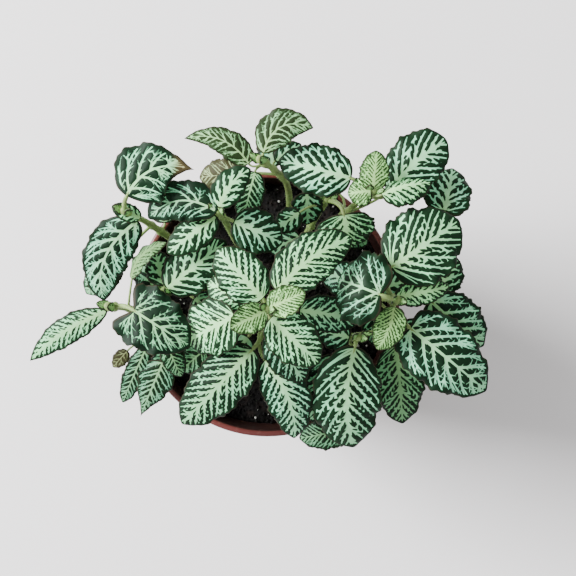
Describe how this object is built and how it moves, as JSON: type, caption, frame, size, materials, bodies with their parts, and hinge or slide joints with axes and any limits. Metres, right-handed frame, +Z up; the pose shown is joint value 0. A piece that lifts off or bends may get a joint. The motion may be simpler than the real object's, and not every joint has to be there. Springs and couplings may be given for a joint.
{
  "type": "potted nerve plant",
  "caption": "Potted nerve plant: leafy stems with veined oval leaves spread from potting soil over the rim of a round tapered plastic nursery pot.",
  "frame": {"origin": "centre of the pot's flat foot, on the surface that it stands on", "axes": "+Z up along the pot's axis, +X to the right and +Y away, as seen in the picture from above"},
  "size_m": [0.2006, 0.147, 0.1582],
  "materials": {
    "pot_plastic": "moulded, satin",
    "potting_soil": "damp peat crumbs with small white grains",
    "foliage": "dark green leaf with pale veins, satin"
  },
  "bodies": {
    "root": {"pot": "pot_plastic", "soil": "potting_soil", "shoot_centre": "foliage", "shoot_top": "foliage", "shoot_inner_left": "foliage", "shoot_upper_left": "foliage", "shoot_left": "foliage", "shoot_mid_left": "foliage", "shoot_upper_right": "foliage", "shoot_right": "foliage", "shoot_far_right": "foliage", "shoot_front": "foliage", "shoot_lower_left": "foliage", "shoot_back": "foliage"}
  },
  "joints": []
}
